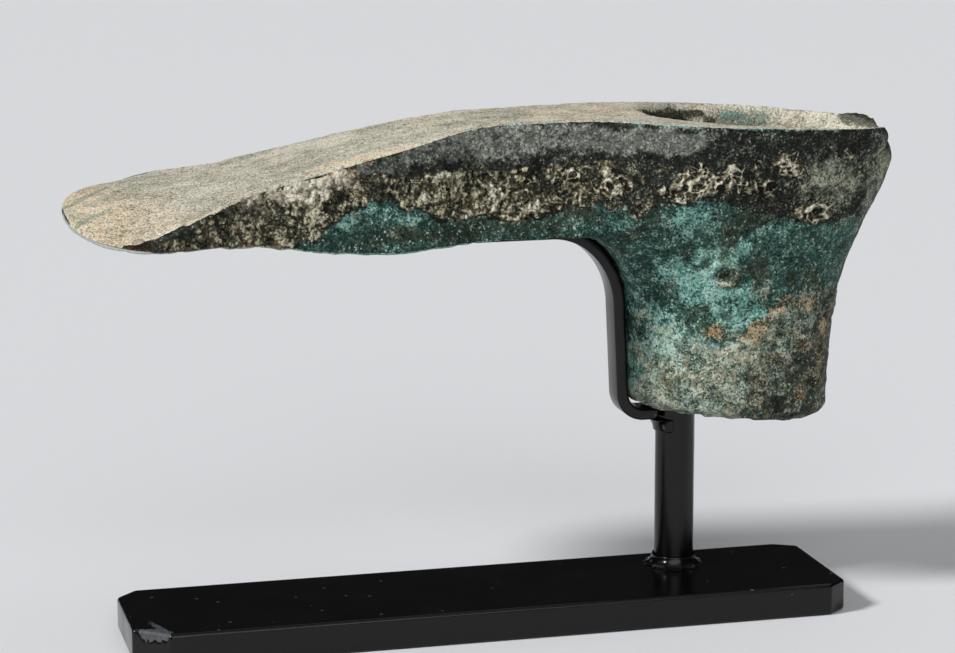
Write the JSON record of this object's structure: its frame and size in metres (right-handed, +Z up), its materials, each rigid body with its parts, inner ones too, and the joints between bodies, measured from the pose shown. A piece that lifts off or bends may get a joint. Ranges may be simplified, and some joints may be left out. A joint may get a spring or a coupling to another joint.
{
  "type": "socketed adze on display mount",
  "caption": "Cast bronze adze with a splayed cutting edge and an oval through socket, resting on a bent steel support and post above a long clipped-corner base.",
  "frame": {"origin": "centre of the base plate's underside, on the surface it stands on", "axes": "+X along the base plate towards the adze's butt, so the cutting edge points to -X; +Y away from the pictured side; +Z up"},
  "size_m": [0.165, 0.0527, 0.0991],
  "materials": {
    "black_paint": "semi-gloss black paint on steel",
    "bronze": "matt green and brown patina on bronze"
  },
  "bodies": {
    "stand": {"base_plate": "black_paint", "post": "black_paint", "foot_weld": "black_paint", "support_strip": "black_paint", "strip_weld": "black_paint"},
    "adze": {"adze_head": "bronze"}
  },
  "joints": [
    {"name": "adze_lift", "type": "slide", "parent": "stand", "child": "adze", "axis": [0, 0, 1], "range_m": [0, 0.06]}
  ]
}
